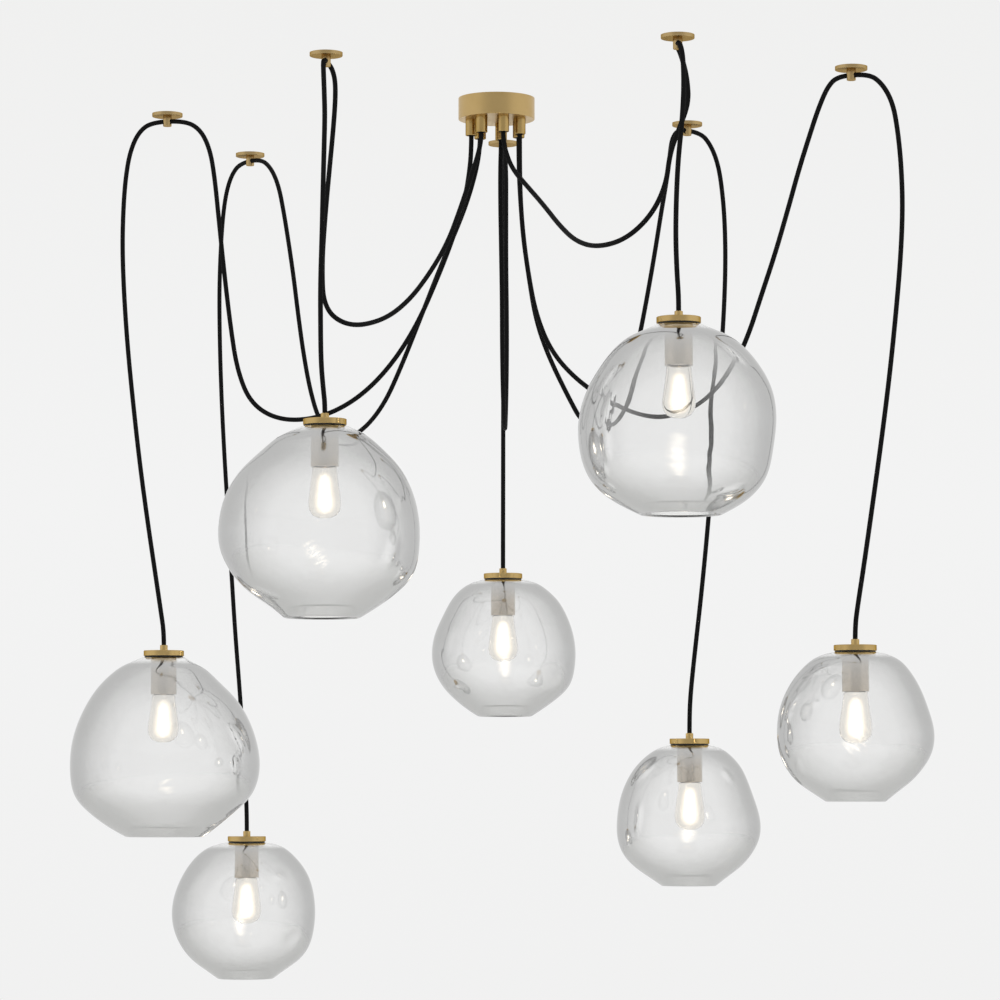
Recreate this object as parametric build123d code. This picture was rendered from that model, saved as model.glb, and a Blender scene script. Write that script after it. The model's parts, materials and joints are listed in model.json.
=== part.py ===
from build123d import *
import math
import os

# Cluster pendant: one round ceiling canopy feeds seven cords. Each cord swags to its own ceiling
# hook, runs through the hook's stem and carries a hand-blown glass globe with a lampholder in it.
# Millimetres, +Z up, the ceiling is the plane Z = 0 and the origin is the canopy's middle on it.

# ---- driving dimensions: ceiling canopy ----
canopy_radius = 51.5
canopy_height = 29.0
canopy_wall = 1.2
canopy_edge_round = 0.8
bar_width = 18.0
bar_thickness = 2.0
bar_tab_drop = 13.0
bar_tab_width = 14.0
bar_clearance = 0.4
box_slot_spacing = 60.0
box_slot_width = 5.2
box_slot_length = 14.0
block_radius = 13.0
block_height = 12.0
block_peg_radius = 2.0
canopy_screw_radius = 1.9
canopy_screw_length = 7.0
canopy_screw_drop = 9.0
hex_socket_flats = 2.0
hex_socket_depth = 1.6
ground_screw_radius = 2.0
ground_screw_offset = 18.5
ground_head_radius = 3.2
ground_head_height = 2.2
thread_clearance = 0.1

# ---- driving dimensions: cord grips under the canopy ----
grip_count = 7
grip_circle = 34.0
grip_first_angle = -126.2
grip_radius = 7.9
grip_length = 22.0
grip_mouth_radius = 5.9
grip_mouth_depth = 8.0
nipple_radius = 5.0
nipple_above_floor = 5.0
wire_way_radius = 2.9
bush_recess = 0.6
locknut_flats = 14.0
locknut_height = 3.0
lead_diameter = 4.0
lead_level = 10.0
lead_rise = 17.0
lead_gap = 0.3

# ---- driving dimensions: cord ----
cord_diameter = 6.4
cord_clearance = 0.1
arc_share = 0.45

# ---- driving dimensions: ceiling hook ----
hook_plate_radius = 21.0
hook_plate_height = 4.6
hook_plate_round = 0.6
hook_stem_radius = 5.85
hook_height = 18.0
hook_spigot_radius = 3.9
hook_hole_radius = 3.6
hook_hole_drop = 11.2
hook_thread_radius = 2.1
hook_thread_depth = 6.2

# ---- driving dimensions: cap, lampholder and bulb ----
cap_radius = 27.5
cap_height = 7.3
cap_edge_round = 0.7
neck_radius = 5.2
neck_height = 7.5
neck_seat_depth = 6.0
cap_thread_depth = 5.0
gasket_radius = 26.0
gasket_height = 1.6
crown_hole_radius = 6.0
holder_radius = 17.5
holder_height = 48.0
holder_edge_round = 1.0
holder_nipple_gap = 0.5
socket_radius = 13.5
socket_depth = 27.0
bulb_base_radius = 13.1
bulb_base_height = 25.0
bulb_inset = 1.0
bulb_contact_radius = 4.0
bulb_contact_height = 1.6
bulb_wall = 1.0
bulb_lamp_length = 66.0
bulb_neck_radius = 13.0
bulb_shoulder_gap = 0.8
bulb_shoulder_radius = 15.6
bulb_waist_radius = 17.0
bulb_waist_share = 0.21
bulb_bowl_radius = 20.7
bulb_bowl_share = 0.71

# ---- driving dimensions: glass ----
glass_wall = 3.0
rim_lip = 2.5
crown_radius = 28.0


# One entry for each lamp: the hook's place on the ceiling, the middle of the cap's disc, the
# grip that feeds it, and how far the hook is turned on the ceiling away from the line of its swag.
# No two of the hand-blown globes are alike, so each has its own outline from the crown down to the
# rim: (depth below the crown, reach to the left, reach to the right).
lamps = {
    1: dict(
        hook=(-455, 116), cap=-746, grip=6, hook_turn=0.0,
        outline=[(0, crown_radius, crown_radius), (6, 43, 38), (16, 63, 57), (32, 82, 75), (55, 100, 98),
                 (85, 115, 117), (120, 125, 129), (155, 127, 132), (185, 122, 123),
                 (210, 103, 100), (231, 75, 75), (246, 48, 54)],
    ),
    2: dict(
        hook=(-216, -325), cap=-471, grip=0, hook_turn=23.4,
        outline=[(0, crown_radius, crown_radius), (6, 42, 42), (16, 62, 59), (32, 81, 77), (55, 105, 97),
                 (85, 124, 112), (120, 133, 120), (155, 132, 120), (185, 118, 113),
                 (209, 96, 93), (229, 67, 66), (243, 49, 43)],
    ),
    3: dict(
        hook=(225, -440), cap=-356, grip=1, hook_turn=-23.0,
        outline=[(0, crown_radius, crown_radius), (6, 40, 41), (16, 63, 64), (32, 82, 84), (55, 99, 102),
                 (85, 115, 116), (120, 124, 120), (155, 123, 116), (185, 114, 109),
                 (208, 96, 94), (225, 70, 72), (236, 47, 51)],
    ),
    4: dict(
        hook=(9, 350), cap=-627, grip=4, hook_turn=0.0,
        outline=[(0, crown_radius, crown_radius), (5, 46, 48), (14, 61, 63), (28, 74, 78), (50, 86, 91),
                 (75, 97, 100), (100, 102, 104), (125, 100, 103), (148, 90, 97),
                 (168, 73, 80), (184, 53, 58), (196, 34, 39)],
    ),
    5: dict(
        hook=(267, 190), cap=-865, grip=3, hook_turn=0.0,
        outline=[(0, crown_radius, crown_radius), (5, 44, 44), (14, 59, 57), (28, 74, 70), (50, 88, 81),
                 (75, 97, 90), (100, 101, 97), (125, 101, 97), (148, 94, 87), (168, 77, 70),
                 (184, 54, 49), (195, 37, 34)],
    ),
    6: dict(
        hook=(459, -230), cap=-752, grip=2, hook_turn=0.0,
        outline=[(0, crown_radius, crown_radius), (5, 46, 46), (14, 61, 61), (28, 75, 73), (50, 89, 85),
                 (75, 98, 94), (100, 101, 100), (125, 99, 98), (148, 90, 86), (167, 75, 69),
                 (182, 53, 49), (192, 37, 36)],
    ),
    7: dict(
        hook=(-362, 451), cap=-1002, grip=5, hook_turn=0.0,
        outline=[(0, crown_radius, crown_radius), (5, 50, 49), (14, 66, 63), (28, 80, 77), (50, 94, 91),
                 (75, 104, 98), (100, 108, 100), (125, 105, 98), (148, 95, 92), (168, 79, 78),
                 (184, 58, 56), (197, 39, 37)],
    ),
}

# Route of each swag, between the straight run below its grip and the straight run into its hook:
# (distance from the grip towards the hook, height, distance to the left of that line).
swag_points = {
    1: [(0, -62, 0), (1.5, -92, 0), (9, -138, 0), (25, -188, 0), (46, -240, 0), (76, -306, 0),
        (115, -363, 0), (161, -405, 0), (214, -429, 0), (271, -431, 0), (313, -407, 0), (333, -360, 0),
        (343, -300, 0), (353, -222, 0), (361, -150, 0), (367, -95, 0), (374, -54, 0),
        (388, -25, 0)],
    2: [(0, -58, 0), (5, -81, -2), (20, -114, -4), (44, -158, -4), (74, -208, -4), (110, -253, -8),
        (155, -296, -12), (212, -327, -13), (282, -342, -17), (320, -322, -29),
        (324, -265, -29), (323, -205, -25), (321, -145, -20), (320, -95, -15),
        (322, -55, -10), (328, -31, -6), (336, -17.5, -5)],
    3: [(0, -56, 0), (5, -76, 0), (24, -105, 1), (66, -135, 2), (118, -167, -2), (178, -203, -11),
        (240, -232, -21), (300, -247, -24), (360, -244, -17), (398, -218, -2),
        (413, -180, 11), (419, -140, 13), (427, -108, 23), (435, -78, 31), (440, -50, 26),
        (442.5, -30, 19), (445.5, -17, 12)],
    4: [(0, -60, 0), (4, -90, 1), (14, -136, 1), (27, -196, 0), (43, -262, -1), (64, -330, -1),
        (96, -397, -2), (147, -441, -4), (199, -402, -5), (228, -335, -6), (238, -265, -6),
        (243, -190, -5), (245, -138, -5), (247, -95, -5), (254, -54, -5), (268, -25, -3)],
    5: [(0, -88, 0), (3, -138, 0), (8, -188, 0), (17, -240, 0), (29, -298, 0), (50, -345, 0),
        (82, -396, 0), (110, -436, 0), (150, -438, 0), (176, -400, 0), (196, -350, 0),
        (211, -295, 0), (224, -240, 0), (236, -185, 0), (246, -135, 0), (254, -98, 0),
        (260, -68, 0), (263, -45, 0), (267, -24, 0)],
    6: [(0, -88, 0), (1, -138, 0), (5, -190, 0), (13, -242, 0), (24, -296, 0), (46, -347, 0),
        (84, -388, 0), (134, -421, 0), (198, -448, 0), (258, -438, 0), (303, -398, 0),
        (331, -348, 0), (352, -290, 0), (372, -236, 0), (390, -180, 0), (406, -128, 0),
        (420, -88, 0), (433, -52, 0), (447, -22.5, 0)],
    7: [(0, -58, 0), (6, -86, 0), (22, -122, 0), (44, -158, 0), (86, -214, 0), (132, -282, 0),
        (176, -346, 0), (216, -397, 0), (268, -431, 0), (325, -441, 0), (369, -409, 0),
        (392, -362, 0), (409, -306, 0), (422, -250, 0), (434, -192, 0), (447, -140, 0),
        (459, -96, 0), (472, -56, 0), (492, -27, 0)],
}

# Straight run of each swag in front of its hook's hole.
swag_lead = {1: 26, 2: 11, 3: 12, 4: 26, 5: 16, 6: 18, 7: 26}

# Route of each hanging cord: (distance out of the hook's hole, height, distance to the left).
drop_points = {
    1: [(43, -25, 0), (55, -52, 0), (61, -88, 0), (64, -130, 0), (65, -185, 0), (62, -250, 0),
        (56, -325, 0), (47, -405, 0), (37, -485, 0), (25, -565, 0), (13.5, -635, 0),
        (4.5, -690, 0), (0, -718, 0)],
    2: [(16, -14.2, 0), (20.5, -21.5, 1), (23, -34, 2), (26, -55, 3.5), (28.5, -85, 5),
        (30, -125, 4.5), (29, -178, 3), (27, -235, 1.5), (24, -298, -1), (18, -350, -2),
        (10, -397, -3), (3, -430, -1.5), (0, -448, 0)],
    3: [(16, -14.2, 0.5), (20.5, -21.5, 2), (22.5, -34, 3.5), (24, -56, 4.2), (25.5, -84, 3.5),
        (27, -118, 1), (27, -160, -3.5),
        (23, -208, -5.5), (16, -256, -5.5), (8, -298, -3), (1.5, -322, -0.5),
        (0, -336.5, 0)],
    4: [(43, -26, 0), (56, -53, 0), (62, -90, 0), (65, -132, 0), (64, -190, 0), (59, -255, 0),
        (51, -325, 0), (40, -395, 0), (28, -462, 0), (15, -522, 0), (5, -570, 0),
        (0, -597, 0)],
    5: [(43, -28, 0), (56, -54, 0), (63, -90, 0), (67.5, -135, 0), (68.5, -195, 0),
        (65, -265, 0), (57.5, -345, 0), (48.5, -425, 0), (41, -505, 0), (32, -585, 0),
        (21.5, -665, 0), (9.5, -745, 0), (2, -800, 0), (0, -834, 0)],
    6: [(43, -26, 0), (57, -52, 0), (63.5, -88, 0), (68, -135, 0), (69.5, -190, 0),
        (66, -255, 0), (58.5, -330, 0), (49, -410, 0), (37.5, -490, 0), (25, -570, 0),
        (13, -645, 0), (4, -697, 0), (0, -724, 0)],
    7: [(48, -26, 0), (62, -52, 0), (70, -88, 0), (75, -135, 0), (78, -195, 0), (76, -270, 0),
        (71, -350, 0), (63, -435, 0), (52.5, -525, 0), (43, -610, 0), (32.5, -700, 0),
        (20, -785, 0), (10, -865, 0), (4, -925, 0), (0, -966, 0)],
}

# Straight run of each hanging cord out of its hook's hole.
drop_lead = {1: 24, 2: 9, 3: 9, 4: 24, 5: 24, 6: 24, 7: 26}

# ---- derived levels ----
canopy_floor_top = -canopy_height + canopy_wall
canopy_inner_radius = canopy_radius - canopy_wall
grip_bottom = -canopy_height - grip_length
grip_seat = grip_bottom + grip_mouth_depth
nipple_top = canopy_floor_top + nipple_above_floor
cap_seat_above_middle = cap_height / 2 + neck_height - neck_seat_depth
crown_below_middle = cap_height / 2 + gasket_height
holder_below_crown = glass_wall
bulb_below_crown = holder_below_crown + holder_height


def put(shape, name):
    """Write one sub-part."""
    export_step(shape, f"parts/{name}.step")


def together(solids):
    """Group separate solids in one sub-part."""
    return Compound(children=list(solids))


def rod(radius, bottom, top, x=0.0, y=0.0):
    """Upright cylinder between two heights."""
    middle = (bottom + top) / 2
    return Pos(x, y, middle) * Cylinder(radius, top - bottom)


def cord_tube(points, diameter, name):
    """Tube of straight runs joined by arcs, each arc as large as its two runs allow."""
    route = [Vector(*p) for p in points]
    radii = []
    for before, corner, after in zip(route, route[1:], route[2:]):
        run_in = corner - before
        run_out = after - corner
        half_turn = math.radians(run_in.get_angle(run_out)) / 2
        shorter = min(run_in.length, run_out.length)
        radii.append(arc_share * shorter / math.tan(half_turn))
    path = FilletPolyline(*route, radius=radii)
    section = Plane(origin=path @ 0, z_dir=path % 0) * Circle(diameter / 2)
    tube = sweep(section, path=path)
    expected = math.pi * diameter**2 / 4 * path.length
    print(f"{name}: length {path.length:.0f}, least radii {[round(r) for r in sorted(radii)[:3]]},"
          f" volume ratio {tube.volume / expected:.4f}")
    return tube


def grip_place(index):
    """Middle of one cord grip on its circle."""
    angle = math.radians(grip_first_angle + index * 360 / grip_count)
    return Vector(grip_circle * math.cos(angle), grip_circle * math.sin(angle))


def swag_frame(lamp):
    """Grip's place, direction from grip to hook, direction to the left of it."""
    grip = grip_place(lamp["grip"])
    along = (Vector(*lamp["hook"]) - grip).normalized()
    return grip, along, Vector(-along.Y, along.X)


def hole_direction(lamp):
    """Direction in which the hanging cord leaves the hook's cross-hole."""
    _, along, _ = swag_frame(lamp)
    return along.rotate(Axis.Z, lamp["hook_turn"])


# ---- canopy ----
def make_canopy():
    cup = rod(canopy_radius, -canopy_height, 0)
    cup = fillet(cup.edges().group_by(Axis.Z)[0], canopy_edge_round)
    cup -= rod(canopy_inner_radius, canopy_floor_top, 1)
    for index in range(grip_count):
        place = grip_place(index)
        cup -= rod(nipple_radius + thread_clearance, -canopy_height - 1, 0, place.X, place.Y)
    screw_way = Pos(0, 0, -canopy_screw_drop) * Rot(0, 90, 0)
    cup -= screw_way * Cylinder(canopy_screw_radius + thread_clearance, 2 * canopy_radius + 2)
    return cup


def tab_reach():
    """How far the bar's bent ends reach, so that their corners clear the round wall."""
    free_radius = canopy_inner_radius - bar_clearance
    return math.sqrt(free_radius**2 - (bar_tab_width / 2) ** 2)


def make_bar():
    reach = tab_reach()
    bar = Pos(0, 0, -bar_thickness / 2) * Box(2 * reach, bar_width, bar_thickness)
    bar &= rod(canopy_inner_radius - bar_clearance, -bar_thickness, 0)
    for side in (-1, 1):
        tab_x = side * (reach - bar_thickness / 2)
        bar += Pos(tab_x, 0, -bar_tab_drop / 2) * Box(bar_thickness, bar_tab_width, bar_tab_drop)
        slot = SlotOverall(box_slot_length, box_slot_width)
        bar -= Pos(side * box_slot_spacing / 2, 0, -bar_thickness) * extrude(slot, bar_thickness)
    bar -= rod(block_peg_radius + thread_clearance, -bar_thickness - 1, 1)
    bar -= rod(ground_screw_radius + thread_clearance, -bar_thickness - 1, 1, ground_screw_offset)
    screw_way = Pos(0, 0, -canopy_screw_drop) * Rot(0, 90, 0)
    bar -= screw_way * Cylinder(canopy_screw_radius + thread_clearance, 2 * canopy_radius)
    return bar


def make_canopy_screws():
    socket = extrude(RegularPolygon(hex_socket_flats / 2, 6, major_radius=False), hex_socket_depth)
    screw = rod(canopy_screw_radius, -canopy_screw_length, 0)
    screw -= Pos(0, 0, -hex_socket_depth) * socket
    flush = canopy_radius - canopy_wall / 4
    right = Pos(flush, 0, -canopy_screw_drop) * Rot(0, 90, 0) * screw
    left = Pos(-flush, 0, -canopy_screw_drop) * Rot(0, -90, 0) * screw
    return together([right, left])


def make_terminal_block():
    block = rod(block_radius, -bar_thickness - block_height, -bar_thickness)
    block = chamfer(block.edges().group_by(Axis.Z)[0], 1)
    return block + rod(block_peg_radius, -bar_thickness - 1, -bar_thickness / 4)


def make_ground_screw():
    head_bottom = -bar_thickness - ground_head_height
    screw = rod(ground_head_radius, head_bottom, -bar_thickness, ground_screw_offset)
    screw += rod(ground_screw_radius, -bar_thickness, -bar_thickness / 4, ground_screw_offset)
    slot = Pos(ground_screw_offset, 0, head_bottom) * Box(8, 1, 1.6)
    return screw - slot


def make_grip(index):
    place = grip_place(index)
    grip = rod(grip_radius, grip_bottom, -canopy_height)
    grip = chamfer(grip.edges().group_by(Axis.Z)[0], 0.6)
    grip += rod(nipple_radius, -canopy_height, nipple_top)
    grip -= rod(wire_way_radius, grip_bottom, nipple_top)
    grip -= rod(grip_mouth_radius, grip_bottom, grip_seat)
    return Pos(place.X, place.Y, 0) * grip


def make_bush(index):
    place = grip_place(index)
    bush = rod(grip_mouth_radius, grip_bottom + bush_recess, grip_seat)
    bush -= rod(cord_diameter / 2 + cord_clearance, grip_bottom, grip_seat)
    return Pos(place.X, place.Y, 0) * bush


def make_locknut(index):
    place = grip_place(index)
    nut = extrude(RegularPolygon(locknut_flats / 2, 6, major_radius=False), locknut_height)
    nut -= rod(nipple_radius + thread_clearance, 0, locknut_height)
    return Pos(place.X, place.Y, canopy_floor_top) * nut


def make_lead(index):
    place = grip_place(index)
    inward = place.normalized()
    stop = inward * (block_radius + lead_gap)
    return cord_tube(
        [
            (place.X, place.Y, -lead_level - lead_rise),
            (place.X, place.Y, -lead_level),
            (stop.X, stop.Y, -lead_level),
        ],
        lead_diameter,
        f"lead {index}",
    )


# ---- ceiling hooks ----
def make_hook_plate(lamp):
    plate = rod(hook_plate_radius, -hook_plate_height, 0)
    plate = fillet(plate.edges().group_by(Axis.Z)[0], hook_plate_round)
    plate -= rod(hook_spigot_radius + thread_clearance, -hook_plate_height, 0)
    return Pos(*lamp["hook"], 0) * plate


def make_hook_stem(lamp):
    stem = rod(hook_stem_radius, -hook_height, -hook_plate_height)
    stem = chamfer(stem.edges().group_by(Axis.Z)[0], 0.4)
    stem += rod(hook_spigot_radius, -hook_plate_height, 0)
    stem -= rod(hook_thread_radius, -hook_thread_depth, 0)
    way = hole_direction(lamp)
    turn = math.degrees(math.atan2(way.Y, way.X))
    cross_hole = Rot(0, 0, turn) * Rot(0, 90, 0) * Cylinder(hook_hole_radius, 3 * hook_stem_radius)
    stem -= Pos(0, 0, -hook_hole_drop) * cross_hole
    return Pos(*lamp["hook"], 0) * stem


# ---- cords ----
def make_swag(number):
    """From the seat in the grip's mouth, down in a swag and up into the middle of the hook."""
    lamp = lamps[number]
    grip, along, left = swag_frame(lamp)
    hook = Vector(*lamp["hook"], -hook_hole_drop)
    points = [Vector(grip.X, grip.Y, grip_seat)]
    for distance, height, aside in swag_points[number]:
        place = grip + along * distance + left * aside
        points.append(Vector(place.X, place.Y, height))
    points.append(hook - hole_direction(lamp) * swag_lead[number])
    points.append(hook)
    return cord_tube(points, cord_diameter, f"swag {number}")


def make_drop(number):
    """From the middle of the hook, over its edge and down into the cap's neck."""
    lamp = lamps[number]
    out = hole_direction(lamp)
    left = Vector(-out.Y, out.X)
    hook = Vector(*lamp["hook"], -hook_hole_drop)
    points = [hook, hook + out * drop_lead[number]]
    for distance, height, aside in drop_points[number]:
        place = Vector(*lamp["hook"]) + out * distance + left * aside
        points.append(Vector(place.X, place.Y, height))
    points.append(Vector(*lamp["hook"], lamp["cap"] + cap_seat_above_middle))
    return cord_tube(points, cord_diameter, f"drop {number}")


# ---- hanging lamp, made with the middle of the cap's disc at the origin ----
def make_cap():
    disc = rod(cap_radius, -cap_height / 2, cap_height / 2)
    disc = fillet(disc.edges().filter_by(GeomType.CIRCLE), cap_edge_round)
    neck = rod(neck_radius, cap_height / 2, cap_height / 2 + neck_height)
    neck = chamfer(neck.edges().group_by(Axis.Z)[-1], 0.5)
    cap = disc + neck
    cap -= rod(cord_diameter / 2 + cord_clearance, cap_seat_above_middle, cap_height + neck_height)
    cap -= rod(wire_way_radius, -cap_height, cap_seat_above_middle)
    return cap - rod(nipple_radius + thread_clearance, -cap_height, cap_thread_depth - cap_height / 2)


def make_gasket():
    ring = rod(gasket_radius, -crown_below_middle, -cap_height / 2)
    return ring - rod(crown_hole_radius, -crown_below_middle, -cap_height / 2)


def outline_points(lamp):
    """This globe's own outline: (depth, radius, sideways lean), from the crown down."""
    return [
        (depth, (left + right) / 2, (right - left) / 2) for depth, left, right in lamp["outline"]
    ]


def inner_points(outline):
    """The same outline, one glass wall further in along its normals."""
    inner = [(glass_wall, outline[0][1] - glass_wall / 3, outline[0][2])]
    for before, here, after in zip(outline, outline[1:], outline[2:] + [None]):
        ahead = after or here
        down = ahead[0] - before[0]
        out = ahead[1] - before[1]
        slant = math.hypot(down, out)
        depth = here[0] + glass_wall * out / slant
        inner.append((depth, here[1] - glass_wall * down / slant, here[2]))
    return inner


def blown_body(points):
    """Closed body through round sections at the given depths below the crown."""
    sections = []
    for depth, radius, lean in points:
        level = -crown_below_middle - depth
        sections.append(Pos(lean, 0, level) * Circle(radius))
    return loft(sections)


def make_glass(lamp):
    outline = outline_points(lamp)
    inner = inner_points(outline)
    globe = blown_body(outline) - blown_body(inner)
    crown = -crown_below_middle
    rim_depth, rim_radius, rim_lean = outline[-1]
    mouth = rod(rim_radius - rim_lip, crown - rim_depth - 1, crown - rim_depth + 4 * glass_wall)
    globe -= Pos(rim_lean, 0, 0) * mouth
    return globe - rod(crown_hole_radius, crown - 2 * glass_wall, crown + 1)


def make_holder():
    top = -crown_below_middle - holder_below_crown
    holder = rod(holder_radius, top - holder_height, top)
    holder = fillet(holder.edges().group_by(Axis.Z)[-1], holder_edge_round)
    nipple_end = -cap_height / 2 + cap_thread_depth - holder_nipple_gap
    holder += rod(nipple_radius, top, nipple_end)
    holder -= rod(socket_radius, top - holder_height, top - holder_height + socket_depth)
    return holder - rod(wire_way_radius, top - holder_height, nipple_end)


def make_bulb():
    """Screw base in the lampholder and the glass envelope below it, open where they meet."""
    mouth = -crown_below_middle - bulb_below_crown
    seam = mouth + bulb_inset
    shoulder = mouth - bulb_shoulder_gap
    bottom = mouth - bulb_lamp_length
    base = rod(bulb_base_radius, seam, seam + bulb_base_height - bulb_contact_height)
    base += rod(bulb_contact_radius, seam + 1, seam + bulb_base_height)

    def envelope(inset):
        """Neck and long bowl of the lamp glass, drawn in by inset."""
        top = shoulder - inset
        wall = Spline(
            (bulb_shoulder_radius - inset, 0, top),
            (bulb_waist_radius - inset, 0, mouth - bulb_lamp_length * bulb_waist_share),
            (bulb_bowl_radius - inset, 0, mouth - bulb_lamp_length * bulb_bowl_share),
            (0, 0, bottom + inset),
            tangents=[(0.1, 0, -1), (-1, 0, 0)],
        )
        closing = Polyline((0, 0, bottom + inset), (0, 0, top), (bulb_shoulder_radius - inset, 0, top))
        bowl = revolve(make_face([wall, closing]), Axis.Z)
        return bowl + rod(bulb_neck_radius - inset, top - 1, seam)

    lamp_glass = envelope(0) - envelope(bulb_wall)
    return together([base, lamp_glass])


os.makedirs("parts", exist_ok=True)
put(make_canopy(), "canopy_cover")
put(make_bar(), "mounting_bar")
put(make_canopy_screws(), "canopy_grub_screws")
put(make_terminal_block(), "terminal_block")
put(make_ground_screw(), "ground_screw")
put(together(make_grip(i) for i in range(grip_count)), "cord_grips")
put(together(make_bush(i) for i in range(grip_count)), "grip_bushes")
put(together(make_locknut(i) for i in range(grip_count)), "grip_locknuts")
put(together(make_lead(i) for i in range(grip_count)), "lead_wires")
put(together(make_hook_plate(lamp) for lamp in lamps.values()), "hook_plates")
put(together(make_hook_stem(lamp) for lamp in lamps.values()), "hook_stems")

for number, lamp in lamps.items():
    hang = Pos(*lamp["hook"], lamp["cap"])
    put(make_swag(number), f"swag_cord_{number}")
    put(make_drop(number), f"drop_cord_{number}")
    put(hang * make_cap(), f"shade_cap_{number}")
    put(hang * make_gasket(), f"cap_gasket_{number}")
    put(hang * make_glass(lamp), f"glass_shade_{number}")
    put(hang * make_holder(), f"lampholder_{number}")
    put(hang * make_bulb(), f"bulb_{number}")
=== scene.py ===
import json
import math

import bpy
import numpy as np
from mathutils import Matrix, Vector


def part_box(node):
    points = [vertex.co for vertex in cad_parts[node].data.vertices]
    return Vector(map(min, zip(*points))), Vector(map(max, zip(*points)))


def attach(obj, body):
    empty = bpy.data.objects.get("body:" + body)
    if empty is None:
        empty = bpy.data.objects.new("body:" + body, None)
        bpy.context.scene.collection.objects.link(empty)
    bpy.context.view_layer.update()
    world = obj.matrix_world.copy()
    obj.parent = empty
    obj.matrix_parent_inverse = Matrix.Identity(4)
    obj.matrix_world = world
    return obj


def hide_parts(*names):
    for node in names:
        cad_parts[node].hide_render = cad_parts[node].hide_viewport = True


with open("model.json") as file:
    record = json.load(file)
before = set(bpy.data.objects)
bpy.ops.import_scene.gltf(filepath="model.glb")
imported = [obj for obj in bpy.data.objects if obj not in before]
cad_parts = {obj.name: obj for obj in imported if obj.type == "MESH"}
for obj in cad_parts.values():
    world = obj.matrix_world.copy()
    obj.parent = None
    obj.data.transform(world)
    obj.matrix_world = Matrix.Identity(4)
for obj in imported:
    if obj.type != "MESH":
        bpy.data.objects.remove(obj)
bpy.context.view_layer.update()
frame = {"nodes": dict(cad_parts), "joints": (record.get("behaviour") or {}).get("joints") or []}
scene = bpy.context.scene


# ---- Studio -------------------------------------------------------------------------------
# A seamless pale room with a pale floor far below the lamp. The camera stands 5.2 m in front of
# the canopy, a little above the lowest globe, and looks slightly up with a long lens. What metal
# and glass mirror of the room's end behind the camera is darker, like an unlit end of a studio.
def node(tree, kind, inputs=None, **options):
    """Add one shader node, set its options, and fill or link its inputs."""
    made = tree.nodes.new(kind)
    for name, value in options.items():
        setattr(made, name, value)
    for name, value in (inputs or {}).items():
        socket = made.inputs[name]
        if isinstance(value, bpy.types.NodeSocket):
            tree.links.new(value, socket)
        else:
            socket.default_value = value
    return made


def math_node(tree, operation, first, second=0.0, clamp=False):
    """Add one Math node and return its result."""
    made = node(tree, "ShaderNodeMath", {0: first, 1: second}, operation=operation)
    made.use_clamp = clamp
    return made.outputs[0]


def add_camera():
    """Long lens, level with the lower globes."""
    lens = bpy.data.cameras.new("studio_camera")
    lens.sensor_width = 36
    lens.lens = 140.4
    camera = bpy.data.objects.new("studio_camera", lens)
    camera.location = (0.0047, -5.2176, -0.946)
    camera.rotation_euler = (math.radians(94.399), 0, 0)
    scene.collection.objects.link(camera)
    scene.camera = camera


def add_room_light():
    """World: lens, metal and glass see the pale room itself, and other rays its softer light."""
    world = bpy.data.worlds.new("pale_room")
    scene.world = world
    world.use_nodes = True
    tree = world.node_tree
    tree.nodes.clear()
    direction = node(tree, "ShaderNodeTexCoord").outputs["Generated"]
    heading = node(tree, "ShaderNodeSeparateXYZ", {0: direction}).outputs
    rise = node(tree, "ShaderNodeMapRange", {"Value": heading["Z"], "From Min": -0.06, "From Max": 0.21})
    wall = node(tree, "ShaderNodeValToRGB", {"Fac": rise.outputs[0]})
    wall.color_ramp.elements[0].color = (0.878, 0.878, 0.876, 1)
    wall.color_ramp.elements[1].color = (0.872, 0.872, 0.867, 1)
    wall.color_ramp.elements.new(0.5).color = (0.896, 0.897, 0.896, 1)
    toward = node(
        tree,
        "ShaderNodeMapRange",
        {"Value": heading["Y"], "From Min": -0.95, "From Max": -0.5, "To Min": 0.66},
        interpolation_type="SMOOTHSTEP",
    )
    path = node(tree, "ShaderNodeLightPath").outputs
    seen = math_node(tree, "MAXIMUM", path["Is Camera Ray"], path["Is Glossy Ray"])
    seen = math_node(tree, "MAXIMUM", seen, path["Is Transmission Ray"])
    level = node(
        tree, "ShaderNodeMix", {"Factor": path["Is Glossy Ray"], "A": 1.0, "B": toward.outputs[0]}
    ).outputs["Result"]
    shown = node(tree, "ShaderNodeBackground", {"Color": wall.outputs[0], "Strength": level})
    light = node(tree, "ShaderNodeBackground", {"Color": (1, 0.995, 0.985, 1), "Strength": 0.72})
    both = node(tree, "ShaderNodeMixShader", {0: seen, 1: light.outputs[0], 2: shown.outputs[0]})
    node(tree, "ShaderNodeOutputWorld", {"Surface": both.outputs[0]})


def add_softbox(name, place, aim, width, watts, tint):
    """One large soft light on a stand, which neither the lens nor a reflection shows."""
    lamp = bpy.data.lights.new(name, "AREA")
    lamp.shape = "RECTANGLE"
    lamp.size = width
    lamp.size_y = width * 0.7
    lamp.energy = watts
    lamp.color = tint
    stand = bpy.data.objects.new(name, lamp)
    stand.location = place
    stand.rotation_euler = (Vector(aim) - Vector(place)).to_track_quat("-Z", "Y").to_euler()
    stand.visible_camera = False
    stand.visible_glossy = False
    stand.visible_transmission = False
    scene.collection.objects.link(stand)


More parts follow.
